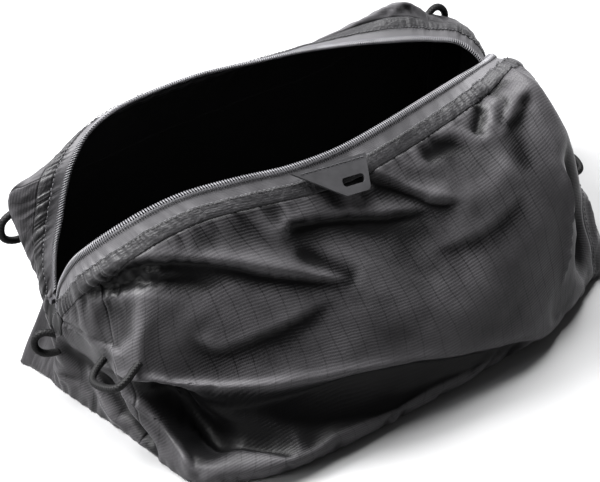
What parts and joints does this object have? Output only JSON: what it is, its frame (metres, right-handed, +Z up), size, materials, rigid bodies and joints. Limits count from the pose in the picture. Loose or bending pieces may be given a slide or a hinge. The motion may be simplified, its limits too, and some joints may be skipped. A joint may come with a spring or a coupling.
{
  "type": "zippered field pouch",
  "caption": "Soft boxy ripstop pouch standing open, with a long curved two-sided zip, a moulded hang tab with a slot, and lash loops of cord.",
  "frame": {"origin": "middle of the base, on the surface the pouch stands on", "axes": "+X along the length towards the slider's end, -Y towards the bulging front panel, +Z up"},
  "size_m": [0.3714, 0.2012, 0.1508],
  "materials": {
    "front_fabric": "semi-gloss ripstop",
    "shell_fabric": "satin weave",
    "elastic": "matt knit",
    "zip_tape": "matt woven",
    "zip_coil": "satin",
    "dark_metal": "satin",
    "tab_rubber": "matt",
    "thread": "matt",
    "cord": "matt braid"
  },
  "bodies": {
    "bag": {"front_panel": "front_fabric", "back_panel": "shell_fabric", "base_panel": "shell_fabric", "left_end_panel": "shell_fabric", "right_end_panel": "shell_fabric", "top_back_panel": "shell_fabric", "zip_casing_front": "front_fabric", "zip_casing_back": "shell_fabric", "casing_elastic_front": "elastic", "casing_elastic_back": "elastic", "zip_tape_front": "zip_tape", "zip_tape_back": "zip_tape", "zip_coil_front": "zip_coil", "zip_coil_back": "zip_coil", "zip_top_stops": "dark_metal", "zip_bottom_stop": "dark_metal", "zip_garage_left": "shell_fabric", "zip_garage_right": "shell_fabric"},
    "slider": {"slider_body": "dark_metal", "slider_crown": "dark_metal"},
    "pull": {"pull_tab": "dark_metal"},
    "tab": {"hang_tab": "tab_rubber", "hang_tab_stitching": "thread"},
    "loop_back_left_body": {"loop_back_left": "cord"},
    "loop_back_right_body": {"loop_back_right": "cord"},
    "loop_side_left_body": {"loop_side_left": "cord"},
    "loop_side_right_body": {"loop_side_right": "cord"},
    "loop_front_left_body": {"loop_front_left": "cord"},
    "loop_front_right_body": {"loop_front_right": "cord"}
  },
  "joints": [
    {"name": "slider_travel", "type": "slide", "parent": "bag", "child": "slider", "axis": [-0.3552, 0, 0.9348], "range_m": [0, 0.014]},
    {"name": "pull_hinge", "type": "hinge", "parent": "slider", "child": "pull", "pos_m": [0.18268, 0.038, 0.07314], "axis": [0, -1, 0], "range_deg": [0, 160]},
    {"name": "tab_hinge", "type": "hinge", "parent": "bag", "child": "tab", "pos_m": [-0.0477, -0.0383, 0.14174], "axis": [-0.9897, 0.102, 0.1], "range_deg": [0, 110]},
    {"name": "loop_back_left_bend", "type": "hinge", "parent": "bag", "child": "loop_back_left_body", "pos_m": [-0.1496, 0.077, 0.093], "axis": [0, 0, 1], "range_deg": [-20, 20], "stiffness_Nm_per_rad": 0.002},
    {"name": "loop_back_right_bend", "type": "hinge", "parent": "bag", "child": "loop_back_right_body", "pos_m": [0.164, 0.077, 0.098], "axis": [-0.7071, 0, 0.7071], "range_deg": [-20, 20], "stiffness_Nm_per_rad": 0.002},
    {"name": "loop_side_left_bend", "type": "hinge", "parent": "bag", "child": "loop_side_left_body", "pos_m": [-0.1509, 0.038, 0.037], "axis": [0.0599, 0, 0.9982], "range_deg": [-14, 14], "stiffness_Nm_per_rad": 0.002},
    {"name": "loop_side_right_bend", "type": "hinge", "parent": "bag", "child": "loop_side_right_body", "pos_m": [0.1845, 0.038, 0.03], "axis": [0.545, 0, 0.8384], "range_deg": [-14, 14], "stiffness_Nm_per_rad": 0.002},
    {"name": "loop_front_left_bend", "type": "hinge", "parent": "bag", "child": "loop_front_left_body", "pos_m": [-0.152, -0.0145, 0.0505], "axis": [0, 0.9292, -0.3697], "range_deg": [-14, 14], "stiffness_Nm_per_rad": 0.002},
    {"name": "loop_front_right_bend", "type": "hinge", "parent": "bag", "child": "loop_front_right_body", "pos_m": [0.172, -0.03, 0.046], "axis": [0.3445, 0.9388, 0], "range_deg": [-18, 18], "stiffness_Nm_per_rad": 0.002}
  ]
}
